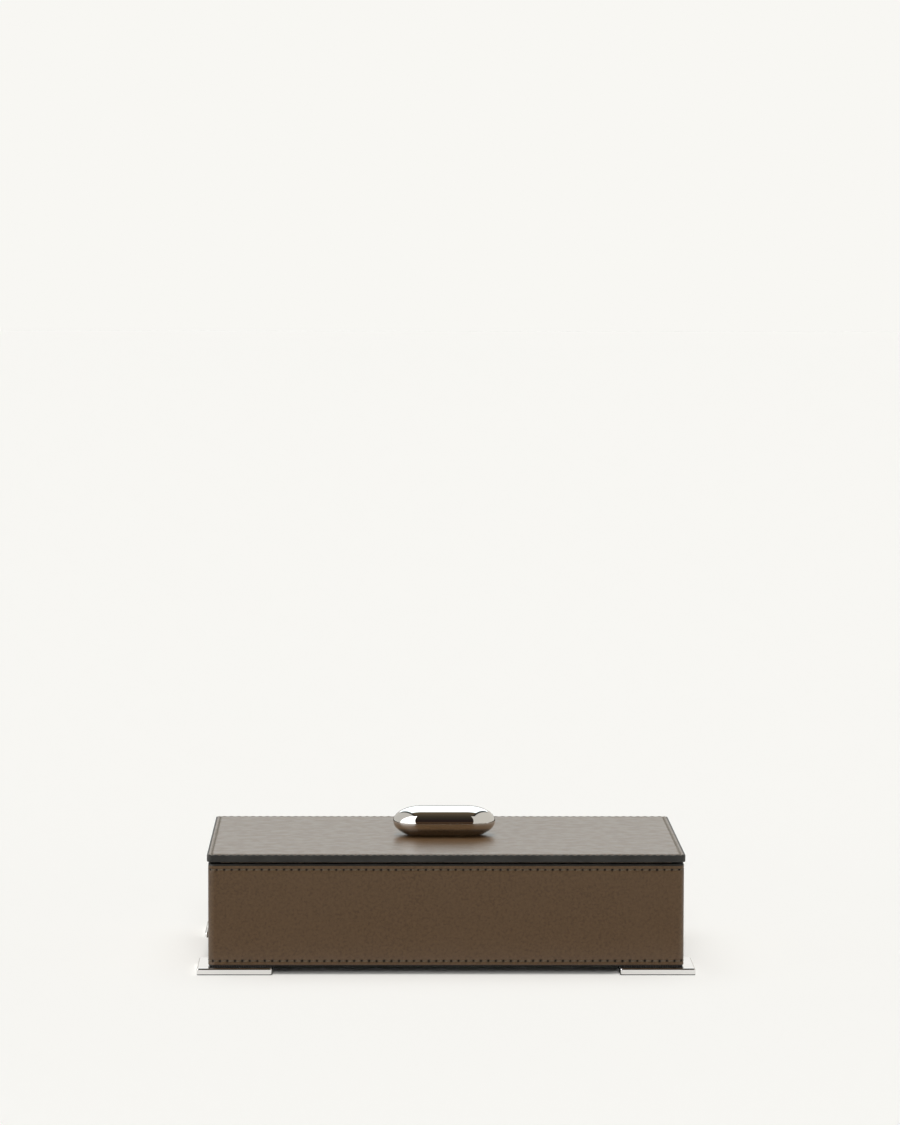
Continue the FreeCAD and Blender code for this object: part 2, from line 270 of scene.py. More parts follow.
class Tree:
    """A node tree under construction."""

    def __init__(self, tree):
        self.tree = tree

    def node(self, kind, settings=None, inputs=None, output=0):
        """New node: its settings, then the values or links of its sockets; gives one of its outputs."""
        made = self.tree.nodes.new(kind)
        for key, value in (settings or {}).items():
            if key == "stops":
                self.set_stops(made.color_ramp, value)
            else:
                setattr(made, key, value)
        self.feed(made, inputs or {})
        return Signal(self, made.outputs[output])

    def feed(self, node, inputs):
        for key, value in inputs.items():
            if isinstance(value, Signal):
                self.tree.links.new(value.socket, node.inputs[key])
            else:
                node.inputs[key].default_value = value

    def set_stops(self, ramp, stops):
        ramp.elements[0].position, ramp.elements[0].color = stops[0][0], (*stops[0][1], 1)
        ramp.elements[1].position, ramp.elements[1].color = stops[-1][0], (*stops[-1][1], 1)
        for position, colour in stops[1:-1]:
            ramp.elements.new(position).color = (*colour, 1)

    def place(self):
        return self.node("ShaderNodeTexCoord", output="Object")

    def held(self, key):
        return self.node("ShaderNodeAttribute", {"attribute_name": key}, output="Fac")

    def parts(self, vector):
        """The three coordinates of a vector."""
        split = self.node("ShaderNodeSeparateXYZ", {}, {0: vector}).socket.node
        return [Signal(self, socket) for socket in split.outputs]

    def ray(self, kind):
        """1 for rays of a kind, 0 for others."""
        return self.node("ShaderNodeLightPath", output=f"Is {kind} Ray")

    def noise(self, scale, detail=3.0, rough=0.55, where=None):
        return self.node("ShaderNodeTexNoise", {}, {
            "Vector": where or self.place(), "Scale": scale, "Detail": detail, "Roughness": rough})

    def stretched(self, scale):
        """Object coordinates drawn out by a scale along each axis."""
        return self.node("ShaderNodeMapping", {}, {"Vector": self.place(), "Scale": scale})

    def between(self, value, low, high):
        """0 below low, 1 above high, smooth between."""
        return self.node("ShaderNodeMapRange", {"interpolation_type": "SMOOTHSTEP"}, {
            "Value": value, "From Min": low, "From Max": high})

    def blend(self, factor, first, second):
        """Colour between two colours."""
        first = first if isinstance(first, Signal) else (*first, 1)
        second = second if isinstance(second, Signal) else (*second, 1)
        return self.node("ShaderNodeMix", {"data_type": "RGBA"}, {0: factor, 6: first, 7: second}, output=2)

    def bump(self, height, depth, strength=1.0, under=None):
        """Normal from a height between 0 and 1, depth in millimetres."""
        inputs = {"Height": height, "Distance": depth * MM, "Strength": strength}
        if under is not None:
            inputs["Normal"] = under
        return self.node("ShaderNodeBump", {}, inputs)


class Finish(Tree):
    """A material with one Principled shader."""

    def __init__(self, name):
        self.material = bpy.data.materials.new(name)
        self.material.use_nodes = True
        super().__init__(self.material.node_tree)
        self.shader = self.tree.nodes["Principled BSDF"]

    def shade(self, **sockets):
        self.feed(self.shader, {key.replace("_", " "): value for key, value in sockets.items()})
        return self.material


def leather_finish(name, sewn):
    """Smooth calf leather with a satin surface: fine pebbled grain, mottled at a millimetre or two, with
    soft waves and clouds; painted shade in its holes and pressed seam lines, and dressed dark along its cut
    edges.
    """
    finish = Finish(name)
    cells = finish.node("ShaderNodeTexVoronoi", {"feature": "SMOOTH_F1"}, {
        "Vector": finish.place(), "Scale": 1000.0, "Smoothness": 0.5})
    fine = finish.noise(1500.0, 2.0)
    mottle = finish.noise(650.0, 4.0, 0.65)
    wave = finish.noise(170.0, 4.0)
    cloud = finish.noise(45.0, 3.0)
    dark, light = (0.0994, 0.0569, 0.0266), (0.1294, 0.0745, 0.0351)
    tone = finish.blend(finish.between(mottle, 0.38, 0.62), dark, light)
    tone = finish.blend(finish.between(cloud, 0.35, 0.65) * 0.25, tone, (0.120, 0.0714, 0.0358))
    tone = finish.blend(finish.between(cells, 0.5, 0.85) * 0.4, tone, (0.0652, 0.0370, 0.0169))
    tone = finish.blend(finish.between(fine, 0.58, 0.72) * 0.35, tone, (0.154, 0.0909, 0.0446))
    rough = 0.285 + finish.between(wave, 0.3, 0.7) * 0.07 + mottle * 0.05 + fine * 0.03
    if sewn:
        hole = finish.held("hole")
        seam = finish.held("seam")
        # Painted shade: the pressed seam line is a little darker
        tone = finish.blend(seam * 0.15, tone, (0.052, 0.037, 0.022))
        # Painted shade: the holes are near black, as the shade in them
        tone = finish.blend(hole, tone, (0.004, 0.003, 0.002))
        tone = finish.blend(finish.held("dressed"), tone, (0.0240, 0.0237, 0.0217))
        rough = rough + hole * 0.5
    grain = finish.bump(cells * 0.7 + fine * 0.3, 0.05, 0.4)
    pulled = finish.bump(wave * 0.5 + cloud * 0.5, 0.22, 0.6, under=grain)
    return finish.shade(Base_Color=tone, Roughness=rough, Normal=pulled, Specular_IOR_Level=0.5)


def edge_finish():
    """Painted leather edge: charcoal dressing, satin, faintly uneven, with a few rubbed specks."""
    finish = Finish("edge_dressing")
    run = finish.noise(240.0, 4.0, where=finish.stretched((0.35, 0.35, 1.0)))
    speck = finish.noise(1500.0, 2.0)
    tone = finish.blend(finish.between(run, 0.3, 0.7), (0.0238, 0.0235, 0.0215), (0.0362, 0.0359, 0.0328))
    tone = finish.blend(finish.between(speck, 0.66, 0.78) * 0.3, tone, (0.045, 0.044, 0.040))
    relief = finish.bump(run * 0.7 + speck * 0.3, 0.05)
    return finish.shade(Base_Color=tone, Roughness=0.42 + run * 0.16, Normal=relief)


def thread_finish():
    """Waxed thread: olive brown, satin, its strands a fine bump; painted shade where it dives into its
    holes.
    """
    finish = Finish("thread")
    strand = finish.noise(3200.0, 2.0, where=finish.stretched((1.0, 1.0, 2.0)))
    tone = finish.blend(finish.between(strand, 0.3, 0.7), (0.100, 0.076, 0.048), (0.181, 0.148, 0.098))
    # Painted shade: near black where the thread dives into its hole
    tone = finish.blend(finish.held("dive"), tone, (0.004, 0.003, 0.002))
    relief = finish.bump(strand, 0.08)
    return finish.shade(Base_Color=tone, Roughness=0.45, Specular_IOR_Level=0.5, Normal=relief)


def suede_finish():
    """Taupe microsuede: short nap with strokes lying two ways, soft sheen at grazing angles."""
    finish = Finish("suede")
    nap = finish.noise(1900.0, 3.0)
    stroke = finish.noise(38.0, 3.0, where=finish.stretched((0.6, 1.0, 1.4)))
    tone = finish.blend(finish.between(stroke, 0.38, 0.64), (0.150, 0.111, 0.080), (0.205, 0.157, 0.117))
    tone = finish.blend(finish.between(nap, 0.35, 0.7) * 0.45, tone, (0.105, 0.075, 0.053))
    return finish.shade(Base_Color=tone, Roughness=0.92, Specular_IOR_Level=0.15, Sheen_Weight=0.35,
                        Sheen_Roughness=0.4, Sheen_Tint=(0.62, 0.54, 0.46, 1), Normal=finish.bump(nap, 0.16))


def polished_finish():
    """Polished plated metal: a clear mirror with hairline polishing marks and the faintest cloud."""
    finish = Finish("polished_metal")
    hair = finish.noise(900.0, 2.0, where=finish.stretched((0.08, 1.0, 1.0)))
    cloud = finish.noise(55.0, 3.0)
    tone = finish.blend(cloud, (0.785, 0.780, 0.770), (0.835, 0.830, 0.820))
    rough = 0.025 + finish.between(hair, 0.55, 0.8) * 0.05 + cloud * 0.02
    return finish.shade(Base_Color=tone, Metallic=1.0, Roughness=rough)


def steel_finish():
    """Screw steel: turned marks, a little dull."""
    finish = Finish("screw_steel")
    turned = finish.noise(1400.0, 3.0, where=finish.stretched((1.0, 1.0, 0.2)))
    tone = finish.blend(turned, (0.42, 0.41, 0.39), (0.58, 0.57, 0.55))
    relief = finish.bump(turned, 0.01)
    return finish.shade(Base_Color=tone, Metallic=1.0, Roughness=0.26 + turned * 0.2, Normal=relief)


def board_finish():
    """Dense fibreboard: warm grey brown with pale and dark fibres."""
    finish = Finish("board")
    fibre = finish.noise(700.0, 5.0, 0.65, where=finish.stretched((0.3, 0.3, 1.0)))
    tone = finish.blend(finish.between(fibre, 0.3, 0.7), (0.115, 0.083, 0.055), (0.215, 0.165, 0.115))
    relief = finish.bump(fibre, 0.05)
    return finish.shade(Base_Color=tone, Roughness=0.8, Specular_IOR_Level=0.3, Normal=relief)


def cloth_finish():
    """Dark bookbinder's cloth: a plain weave of two crossing waves, with slubs."""
    finish = Finish("cover_cloth")
    warp = finish.node("ShaderNodeTexWave", {"bands_direction": "X"}, {
        "Vector": finish.place(), "Scale": 260.0, "Distortion": 1.2, "Detail": 2.0}, output="Fac")
    weft = finish.node("ShaderNodeTexWave", {"bands_direction": "Y"}, {
        "Vector": finish.place(), "Scale": 260.0, "Distortion": 1.2, "Detail": 2.0}, output="Fac")
    slub = finish.noise(120.0, 3.0)
    weave = warp * weft
    tone = finish.blend(weave * 0.7 + slub * 0.3, (0.016, 0.0155, 0.0145), (0.045, 0.044, 0.041))
    relief = finish.bump(weave, 0.1)
    return finish.shade(Base_Color=tone, Roughness=0.85, Specular_IOR_Level=0.3, Normal=relief)


sewn_leather = leather_finish("brown_leather", sewn=True)
plain_leather = leather_finish("brown_leather_plain", sewn=False)
edge_dressing = edge_finish()
thread = thread_finish()
suede = suede_finish()
polished_metal = polished_finish()
screw_steel = steel_finish()
board = board_finish()
cover_cloth = cloth_finish()


# Box

WRAP_LOW, WRAP_HIGH = node_box("leather_wrap")
BODY_HALF_WIDTH = WRAP_HIGH[0]
BODY_HALF_DEPTH = WRAP_HIGH[1]
BODY_CORNER = 3.5
LEATHER = 1.2
LEATHER_EDGE = 0.4
EDGE_DRESSED = 0.45
EDGE_FADE = 0.2
LONG_PITCH = 2 * (BODY_HALF_WIDTH - BODY_CORNER) / LONG_SIDE_STITCHES
JOINT_HALF_GAP = 0.1
JOINT_ROUND = 0.3
JOINT_DEPTH = 0.25
JOINT_COLUMNS = np.array([0.0, 0.1, 0.2, 0.4])
JOINT_CLEAR = 0.12
MIDDLE_FROM_SEAM = 6.0
ROWS_APART = 0.05


def seam_relief(across, stitch, phase, radius=HOLE_RADIUS):
    """One seam of holes: how far it presses the leather in, and masks for the painted shade of its holes and
    its pressed line.

    The press is a shallow valley plus a pit at each hole, both bell curves; the painted shade of a hole is a
    bell curve with a flat top. Each hole differs a little in size and in its distance from the edge.
    """
    along = from_hole(stitch, phase, LONG_PITCH)
    size = radius * (1 + HOLE_UNEVEN * unevenness(stitch, phase, 0.7))
    aside = across + HOLE_STRAY * unevenness(stitch, phase, 2.1)
    line = np.exp(-(across / SEAM_HALF_WIDTH) ** 2) + 0 * along
    from_middle = (aside ** 2 + along ** 2) / size ** 2
    press = SEAM_VALLEY * line + HOLE_DEPTH * np.exp(-from_middle)
    # Mask of the painted shade in a hole
    hole = np.exp(-(from_middle / HOLE_SHADE_SPREAD) ** 1.5)
    return press, hole, line


SEAM_ROWS = np.array([-1.8, -1.0, -0.6, -0.3, 0.0, 0.3, 0.6, 1.0, 1.8])


def leather_wrap():
    """Leather round the walls: an upright profile carried along the rounded outline, butted at the back.

    The profile is the outer face with both edges rounded, then the inner face. Seams press it in.
    """
    low, high = WRAP_LOW[2], WRAP_HIGH[2]
    lower_seam, upper_seam = low + SEAM_FROM_EDGE, high - SEAM_FROM_EDGE
    turn = arc(0, 90, 5)
    middle = np.linspace(lower_seam + MIDDLE_FROM_SEAM, upper_seam - MIDDLE_FROM_SEAM, 4)
    face = np.concatenate([lower_seam + SEAM_ROWS, middle, upper_seam + SEAM_ROWS])
    face = face[(face > low + LEATHER_EDGE + ROWS_APART) & (face < high - LEATHER_EDGE - ROWS_APART)]
    rise = LEATHER_EDGE * (1 - np.cos(turn))
    ease = LEATHER_EDGE * (1 - np.sin(turn))
    z = np.concatenate([[low], low + rise, face, high - rise[::-1], [high]])[:, None]
    inset = np.concatenate([[LEATHER], ease, np.zeros(face.size), ease[::-1], [LEATHER]])[:, None]
    stitch = seam_columns(WALL_COLUMNS)
    joint = JOINT_HALF_GAP / LONG_PITCH
    lap = JOINT_COLUMNS / LONG_PITCH
    between = stitch[stitch > joint + JOINT_CLEAR]
    stitch = np.concatenate([joint + lap, between, STITCH_TOTAL - joint - lap[::-1]])
    stitch = np.unique(stitch[stitch <= STITCH_TOTAL - joint])[None, :]
    upper_press, upper_hole_shade, upper_line = seam_relief(z - upper_seam, stitch, UPPER_PHASE)
    lower_press, lower_hole_shade, lower_line = seam_relief(z - lower_seam, stitch, LOWER_PHASE,
                                                       LOWER_HOLE_RADIUS)
    outer = np.where(inset < LEATHER_EDGE + 0.01, 1.0, 0.0)
    from_joint = np.minimum(stitch, STITCH_TOTAL - stitch) * LONG_PITCH - JOINT_HALF_GAP
    rounding = JOINT_DEPTH * np.exp(-(from_joint / JOINT_ROUND) ** 2)
    depth = inset + outer * (upper_press + lower_press + rounding)
    x, y = outline(station_of_stitch(stitch), BODY_HALF_WIDTH, BODY_HALF_DEPTH, BODY_CORNER, depth)
    rows, columns = x.shape
    faces = grid_faces(rows, columns, loop_rows=True).tolist()
    start = np.arange(rows) * columns
    faces += [start.tolist(), (start + columns - 1)[::-1].tolist()]
    from_edge = np.minimum(z - low, high - z)
    dressed = np.clip((EDGE_DRESSED - from_edge) / EDGE_FADE, 0, 1) + 0 * stitch
    # hole and seam carry the painted shade of the holes and pressed lines; dressed is the edge paint
    values = {"hole": outer * (upper_hole_shade + lower_hole_shade), "seam": outer * (upper_line + lower_line),
              "dressed": dressed}
    make_piece("leather_wrap_sewn", stack(x, y, z), faces, sewn_leather, "box",
               ["leather_wrap"], values)


def thread_row(name, body, place_thread, phase):
    """One row of stitches: each is a tube of eight sides that dives into a hole at both ends.

    place_thread turns a station, a distance across the seam and a height above the leather into a point.
    """
    along = np.array([0.08, 0.13, 0.20, 0.36, 0.64, 0.80, 0.87, 0.92])
    bow = np.array([-1.0, -0.45, 0.0, 0.12, 0.12, 0.0, -0.45, -1.0])
    girth = np.array([0.55, 0.85, 1.0, 1.0, 1.0, 1.0, 0.85, 0.55])
    # Painted shade along the tube, strongest at both ends where it dives
    dive = np.array([1.0, 0.8, 0.15, 0.0, 0.0, 0.15, 0.8, 1.0])
    sides = np.arange(8) * FULL_TURN / 8
    stitch = np.arange(STITCH_TOTAL)[:, None, None]
    count = (stitch + along[None, :, None] + phase) % STITCH_TOTAL
    height = np.where(bow < 0, bow * THREAD_SINK, bow * THREAD_BOW)[None, :, None]
    lump = 1 + THREAD_LUMP * np.cos(2 * sides[None, None, :] - FULL_TURN * 1.5 * along[None, :, None])
    radius = THREAD_RADIUS * girth[None, :, None] * lump
    slant = THREAD_SLANT * (along[None, :, None] - 0.5)
    across = slant + radius * np.sin(sides)
    above = height + THREAD_FLAT * radius * np.cos(sides)
    x, y, z = place_thread(station_of_stitch(count), across, above)
    tube = grid_faces(along.size, sides.size, loop_columns=True)[:, ::-1]
    size = along.size * sides.size
    offset = np.arange(STITCH_TOTAL)[:, None, None] * size
    faces = (tube[None] + offset).reshape(-1, 4).tolist()
    first = np.arange(sides.size)
    caps = np.stack([first, (size - sides.size + first)[::-1]])
    faces += (caps[None] + offset).reshape(-1, sides.size).tolist()
    values = {"dive": dive[None, :, None] + 0 * x}
    make_piece(name, stack(x, y, z), faces, thread, body, values=values)


def wall_thread(height):
    """Place of thread on the wall: outwards is above, upwards is across."""
    def place(station, across, above):
        x, y = outline(station, BODY_HALF_WIDTH, BODY_HALF_DEPTH, BODY_CORNER, SEAM_VALLEY - above)
        return x, y, height + across
    return place


RIM_LOW, RIM_HIGH = node_box("rim_edge")
RIM_WIDTH = 6.2
RIM_INSET = 0.03
RIM_WAVER = 0.03


def rim_edge():
    """Dressed rim on top of the walls: a low band carried round the outline, rolled at its outer edge."""
    low, high = RIM_LOW[2], RIM_HIGH[2]
    roll = arc(0, 90, 5)
    reach = high - low
    inset = np.concatenate([[RIM_WIDTH, RIM_INSET], RIM_INSET + reach * (1 - np.cos(roll)),
                            [1.6, 3.4, RIM_WIDTH - 0.3, RIM_WIDTH]])
    z = np.concatenate([[low, low], low + reach * np.sin(roll), [high, high, high, high - 0.15]])
    stitch = np.linspace(0, STITCH_TOTAL, 4 * STITCH_TOTAL, endpoint=False)[None, :]
    waver = RIM_WAVER * ripple(stitch, 1.3)
    depth = inset[:, None] + waver * np.where(inset < 1, 1, 0)[:, None] + RIM_INSET
    x, y = outline(station_of_stitch(stitch), BODY_HALF_WIDTH, BODY_HALF_DEPTH, BODY_CORNER, depth)
    faces = grid_faces(*x.shape, loop_rows=True, loop_columns=True).tolist()
    make_piece("rim_edge_dressed", stack(x, y, z[:, None]), faces, edge_dressing, "box",
               ["rim_edge"])


LINER_ROUND = 0.8
LINER_INSET = 0.05
LINER_SOFT = 0.05
LINER_ROW = 4.0
MITRE_GAP = 0.02


def liner(side):
    """Suede-covered lining board: a profile rounded at the top, carried along the wall, mitred at both ends.

    The board is drawn along a run with its depth measured from the wall inwards, then turned to its side.
    """
    low, high = node_box(f"liner_{side}")
    size = high - low
    along_axis = 0 if side in ("front", "back") else 1
    thick = size[1 - along_axis]
    half = size[along_axis] / 2
    roll = arc(0, 90, 5)
    rise = high[2] - LINER_ROUND
    depth = np.concatenate([[LINER_INSET, LINER_INSET], LINER_INSET + LINER_ROUND * (1 - np.cos(roll)),
                            (thick - LINER_ROUND * (1 - np.cos(roll)))[::-1], [thick, thick]])
    z = np.concatenate([[low[2], rise - LINER_ROW], rise + LINER_ROUND * np.sin(roll),
                        (rise + LINER_ROUND * np.sin(roll))[::-1], [rise - LINER_ROW, low[2]]])
    run = np.linspace(-1, 1, 33)[None, :]
    along = run * (half - depth[:, None] - MITRE_GAP)
    soft = LINER_SOFT * np.sin(FULL_TURN * 2.5 * run + 1.0) * (z[:, None] - low[2]) / size[2]
    inward = depth[:, None] - np.where(depth > thick - 0.01, 1, 0)[:, None] * np.abs(soft)
    spread = {"front": (along, low[1] + inward), "back": (-along, high[1] - inward),
              "left": (low[0] + inward, -along), "right": (high[0] - inward, along)}
    x, y = spread[side]
    rows, columns = x.shape
    faces = grid_faces(rows, columns, loop_rows=True).tolist()
    start = np.arange(rows) * columns
    faces += [start.tolist(), (start + columns - 1)[::-1].tolist()]
    make_piece(f"liner_{side}_suede", stack(x, y, z[:, None]), faces, suede, "box",
               [f"liner_{side}"])


def pad(name, node, corner, crown, roll, body, faces_down, stands_for):
    """Soft pad: the rounded outline drawn at growing insets, rolled at the rim and crowned to the middle.

    The height is the roll's quarter circle, then a shallow dome that grows as the sine of the way in.
    """
    low, high = node_box(node)
    half_width, half_depth = (high[0] - low[0]) / 2, (high[1] - low[1]) / 2
    turn = arc(0, 90, 6)
    reach = half_depth - CENTRE_GAP
    inner = np.array([2.0, 4.0, 8.0, 16.0, 30.0, 50.0, reach])
    inset = np.concatenate([[reach, 1.0, 0.0], roll * (1 - np.cos(turn)), inner])
    way = np.concatenate([np.zeros(3 + turn.size), inner / reach])
    thick = high[2] - low[2]
    shoulder = thick - crown
    level = np.concatenate([[0, 0, 0], shoulder - roll + roll * np.sin(turn), np.full(inner.size, shoulder)])
    rise = level + crown * np.sin(way * math.pi / 2)
    z = high[2] - rise if faces_down else low[2] + rise
    station = station_of_stitch(np.linspace(0, STITCH_TOTAL, 3 * STITCH_TOTAL, endpoint=False))[None, :]
    x, y = outline(station, half_width, half_depth, corner, inset[:, None])
    rows, columns = x.shape
    faces = grid_faces(rows, columns, loop_columns=True)
    ends = [np.arange(columns)[::-1], (rows - 1) * columns + np.arange(columns)]
    if faces_down:
        faces = faces[:, ::-1]
        ends = [end[::-1] for end in ends]
    faces = faces.tolist() + [end.tolist() for end in ends]
    made = make_piece(name, stack(x, y, z[:, None]), faces, suede, body, stands_for)


leather_wrap()
thread_row("thread_upper", "box", wall_thread(WRAP_HIGH[2] - SEAM_FROM_EDGE), UPPER_PHASE)
thread_row("thread_lower", "box", wall_thread(WRAP_LOW[2] + SEAM_FROM_EDGE), LOWER_PHASE)
rim_edge()
for wall in ("front", "right", "back", "left"):
    liner(wall)
pad("floor_pad_suede", "floor_pad", 0.8, 0.5, 0.9, "box", False, ["floor_pad"])


# Lid

EDGE_LOW, EDGE_HIGH = node_box("lid_edge")
LID_HALF_WIDTH = EDGE_HIGH[0]
LID_HALF_DEPTH = EDGE_HIGH[1]
LID_CORNER = 2.5
LID_TOP = EDGE_HIGH[2]
LID_UNDER = EDGE_LOW[2]
LID_EDGE_WIDTH = 0.7
LID_EDGE_ROUND = 0.5
LID_EDGE_LAP = 0.05
LID_EDGE_TUCK = 0.02
LID_EDGE_WAVER = 0.025
LID_LEATHER_LOW = node_box("lid_top_leather")[0][2]
SEAM_TO_EDGE = LID_SEAM_INSET - LID_EDGE_WIDTH


def margin_drop(stitch):
    """How far each hole pulls down the margin of the lid beside it: a cosine of the stitch count."""
    return SCALLOP * (1 + np.cos(FULL_TURN * stitch)) / 2


def lid_leather():
    """Leather on top of the lid: the outline drawn at growing insets from the dressed edge to the middle.

    The height rolls up from the edge, dips along the seam, and stays level beyond it. The margin outside the
    seam drops beside each hole.
    """
    roll = arc(0, 90, 5)
    start = LID_EDGE_WIDTH
    bend = 0.3
    seam = LID_SEAM_INSET + SEAM_ROWS
    seam = seam[seam > start + bend + 0.05]
    reach = LID_HALF_DEPTH - CENTRE_GAP
    inner = np.array([7.0, 12.0, 22.0, 38.0, 58.0, reach])
    inset = np.concatenate([[start], start + bend * (1 - np.cos(roll)), seam, inner])[:, None]
    level = np.concatenate([[LID_LEATHER_LOW], LID_TOP - bend + bend * np.sin(roll),
                            np.full(seam.size + inner.size, LID_TOP)])[:, None]
    stitch = seam_columns(LID_COLUMNS)[None, :]
    across = inset - LID_SEAM_INSET
    press, hole, line = seam_relief(across, stitch, 0.0)
    top = np.where(level > LID_TOP - bend - 0.01, 1.0, 0.0)
    margin = np.exp(-((across + SEAM_TO_EDGE) / SEAM_HALF_WIDTH) ** 2)
    z = level - top * (press + margin * margin_drop(stitch))
    x, y = outline(station_of_stitch(stitch), LID_HALF_WIDTH, LID_HALF_DEPTH, LID_CORNER, inset)
    rows, columns = x.shape
    faces = grid_faces(rows, columns, loop_columns=True).tolist()
    faces += [np.arange(columns)[::-1].tolist(), ((rows - 1) * columns + np.arange(columns)).tolist()]
    # hole and seam carry the painted shade of the holes and pressed line
    values = {"hole": top * hole, "seam": top * line, "dressed": 0 * line}
    make_piece("lid_leather_sewn", stack(x, y, z), faces, sewn_leather, "lid",
               ["lid_top_leather"], values)


def lid_thread(station, across, above):
    """Place of thread on the lid: upwards is above, inwards is across."""
    x, y = outline(station, LID_HALF_WIDTH, LID_HALF_DEPTH, LID_CORNER, LID_SEAM_INSET + across)
    return x, y, LID_TOP - SEAM_VALLEY + above


def lid_edge():
    """Dressed edge round the lid: a closed profile, its outer corners rolled, carried along the outline.

    Its upper half is pulled down with the leather's margin, more towards the top.
    """
    roll = arc(0, 90, 6)
    rise = LID_EDGE_ROUND * (1 - np.cos(roll))
    ease = LID_EDGE_ROUND * (1 - np.sin(roll))
    middle = np.linspace(LID_UNDER + LID_EDGE_ROUND, LID_TOP - LID_EDGE_ROUND, 5)[1:-1]
    inner = LID_EDGE_WIDTH + LID_EDGE_LAP
    z = np.concatenate([[LID_UNDER], LID_UNDER + rise, middle, LID_TOP - rise[::-1],
                        [LID_TOP - LID_EDGE_TUCK]])
    inset = np.concatenate([[inner], ease, np.zeros(middle.size), ease[::-1], [inner]])
    half_height = (LID_UNDER + LID_TOP) / 2
    share = np.clip((z - half_height) / (LID_TOP - half_height), 0, 1)[:, None]
    stitch = np.linspace(0, STITCH_TOTAL, 8 * STITCH_TOTAL, endpoint=False)[None, :]
    height = z[:, None] - share * margin_drop(stitch)
    waver = LID_EDGE_WAVER * (1 + ripple(stitch, 0.4))
    depth = inset[:, None] + waver * np.where(inset < LID_EDGE_WIDTH, 1, 0)[:, None]
    x, y = outline(station_of_stitch(stitch), LID_HALF_WIDTH, LID_HALF_DEPTH, LID_CORNER, depth)
    faces = grid_faces(*x.shape, loop_rows=True, loop_columns=True).tolist()
    make_piece("lid_edge_dressed", stack(x, y, height), faces, edge_dressing, "lid",
               ["lid_edge"])


KNOB_REACH = 15.0
KNOB_STRAIGHT = 11.5
KNOB_EQUATOR = 7.3
KNOB_CROWN = 7.9
KNOB_BASE = 6.7


def knob():
    """Pebble: a profile of two elliptical arcs that meet at the equator, carried along a straight middle and
    round both ends. The top row closes on the ridge line.
    """
    base_angle = math.acos(KNOB_BASE / KNOB_REACH)
    lower_height = KNOB_EQUATOR / math.sin(base_angle)
    below = np.linspace(base_angle, 0, 22)
    upward = np.linspace(0, math.pi / 2, 34)[1:]
    reach = np.concatenate([KNOB_REACH * np.cos(below), KNOB_REACH * np.cos(upward)])
    z = LID_TOP + KNOB_EQUATOR + np.concatenate([-lower_height * np.sin(below), KNOB_CROWN * np.sin(upward)])
    way = np.linspace(0, 1, 21)[:-1]
    rounds_and_straights = [start + way for start in (0, 1, 3, 4, 5, 7, 8)]
    station = np.concatenate(rounds_and_straights)[None, :]
    x, y = swept(station, KNOB_STRAIGHT, 0.0, reach[:, None])
    rows, columns = x.shape
    faces = grid_faces(rows, columns, loop_columns=True).tolist()
    faces.append(np.arange(columns)[::-1].tolist())
    make_piece("knob_pebble", stack(x, y, z[:, None]), faces, polished_metal, "lid",
               ["knob"], weld=JOIN_WITHIN)


lid_leather()
thread_row("thread_lid", "lid", lid_thread, 0.0)
lid_edge()
knob()
pad("plug_suede", "lid_plug_facing", 1.5, 0.0, 0.5, "lid", True, ["lid_plug_facing"])


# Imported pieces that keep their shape

def joined_facets(node, finish):
    """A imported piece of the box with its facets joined: rolled edges mirror smoothly, flats stay flat."""
    work = bmesh.new()
    work.from_mesh(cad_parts[node].data)
    bmesh.ops.remove_doubles(work, verts=work.verts, dist=JOIN_WITHIN * MM)
    mesh = bpy.data.meshes.new(f"{node}_polished")
    work.to_mesh(mesh)
    work.free()
    mesh.polygons.foreach_set("use_smooth", np.ones(len(mesh.polygons), bool))
    mesh.set_sharp_from_angle(angle=math.radians(ROLLED_SHARP_ABOVE))
    mesh.materials.clear()
    mesh.materials.append(finish)
    made = bpy.data.objects.new(mesh.name, mesh)
    flats = made.modifiers.new("flats_stay_flat", "WEIGHTED_NORMAL")
    flats.keep_sharp = True
    flats.weight = 100
    bpy.context.scene.collection.objects.link(made)
    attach(made, "box")
    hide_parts(node)


for node in ("foot_front_left", "foot_front_right", "foot_back_left", "foot_back_right", "side_bar"):
    joined_facets(node, polished_metal)

FINISH_OF_NODE = {
    "wall_front": board, "wall_right": board, "wall_back": board, "wall_left": board, "base_board": board,
    "lid_board": board, "lid_plug": suede, "lid_lining": plain_leather, "bottom_cover": cover_cloth,
    "side_bar_pins": polished_metal,
    "foot_screws": screw_steel, "knob_screw": screw_steel, "knob_washer": screw_steel,
}
for node, finish in FINISH_OF_NODE.items():
    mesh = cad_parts[node].data
    mesh.materials.clear()
    mesh.materials.append(finish)


# Studio

# Floor as mirrors see it, in metres: the stretches along Y, and out from the feet, over which it changes
AHEAD_OF_FEET = (-0.135, -0.118)
AHEAD_PALES = (-0.45, -0.14)
OPENING_STARTS = (-0.70, -0.58)
FAR_BEHIND = (0.26, 0.34)
# Fade of the painted shade under the box, out from its outline
UNDER_BOX_SHADE_EDGE = (0.0004, 0.0010)
FLOOR_DARK = (0.06, 0.06, 0.055)


